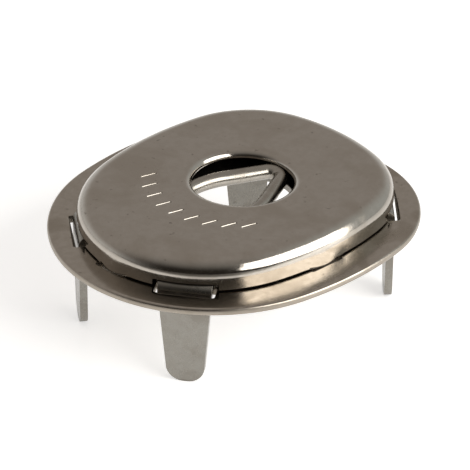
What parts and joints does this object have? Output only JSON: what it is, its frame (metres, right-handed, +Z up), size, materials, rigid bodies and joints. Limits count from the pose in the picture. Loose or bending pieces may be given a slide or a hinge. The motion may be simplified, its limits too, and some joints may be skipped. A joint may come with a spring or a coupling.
{
  "type": "snap fastener socket",
  "caption": "Egg-shaped snap fastener socket for cloth: drawn metal cap with a round stud eye over a hairpin spring, on a base plate, with four prongs to clinch; opens by lifting its broad end.",
  "frame": {"origin": "middle of the base plate's outline in plan, at the level of the prong tips that the socket stands on", "axes": "+Z up through the cap's roof, +Y to the rear, away from the end that is lifted, +X to the right seen from the lift end"},
  "size_m": [0.0208, 0.0228, 0.0083],
  "materials": {
    "base_plate": "nickel plated, smooth, lightly dulled",
    "seat_plate": "nickel plated, smooth",
    "latch_spring": "drawn spring wire, smooth and bright",
    "cap": "nickel plated, polished, lightly dulled"
  },
  "bodies": {
    "housing": {"base_plate": "base_plate", "seat_plate": "seat_plate", "cap": "cap"},
    "spring": {"latch_spring": "latch_spring"}
  },
  "joints": [
    {"name": "spring_slide", "type": "slide", "parent": "housing", "child": "spring", "axis": [0, 1, 0], "range_m": [0, 0.0005], "stiffness_N_per_m": 150}
  ]
}
